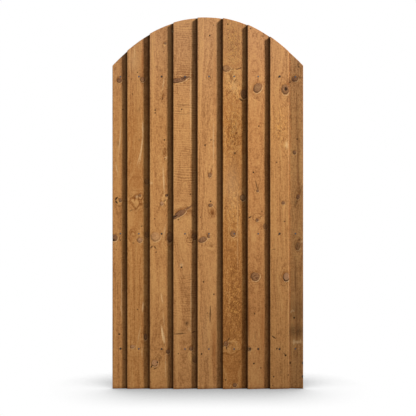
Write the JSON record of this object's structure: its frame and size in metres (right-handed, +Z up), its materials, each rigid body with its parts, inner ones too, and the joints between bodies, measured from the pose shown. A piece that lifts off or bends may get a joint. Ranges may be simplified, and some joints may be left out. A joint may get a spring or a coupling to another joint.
{
  "type": "arched featheredge gate",
  "caption": "Ledged and braced garden gate of upright lapped tapered boards, nailed to level ledges, with its tops cut to one shallow curve.",
  "frame": {"origin": "on the ground line, under the middle of the gate's width and of its depth", "axes": "+Z up along the boards, +X to the right for someone who faces the boards, +Y out of the back, on the side of the ledges; the boards face -Y"},
  "size_m": [0.9, 0.061, 1.75],
  "materials": {
    "featheredge_board": "rough-sawn treated softwood, golden brown, knotty, dry",
    "sawn_rail": "sawn treated softwood, golden brown, dry",
    "galvanised_nail": "dull galvanised steel"
  },
  "bodies": {
    "root": {"board_1": "featheredge_board", "board_2": "featheredge_board", "board_3": "featheredge_board", "board_4": "featheredge_board", "board_5": "featheredge_board", "board_6": "featheredge_board", "board_7": "featheredge_board", "board_8": "featheredge_board", "board_9": "featheredge_board", "board_1_nails": "galvanised_nail", "board_2_nails": "galvanised_nail", "board_3_nails": "galvanised_nail", "board_4_nails": "galvanised_nail", "board_5_nails": "galvanised_nail", "board_6_nails": "galvanised_nail", "board_7_nails": "galvanised_nail", "board_8_nails": "galvanised_nail", "board_9_nails": "galvanised_nail", "top_ledge": "sawn_rail", "middle_ledge": "sawn_rail", "bottom_ledge": "sawn_rail", "upper_brace": "sawn_rail", "lower_brace": "sawn_rail", "upper_brace_nails": "galvanised_nail", "lower_brace_nails": "galvanised_nail"}
  },
  "joints": []
}
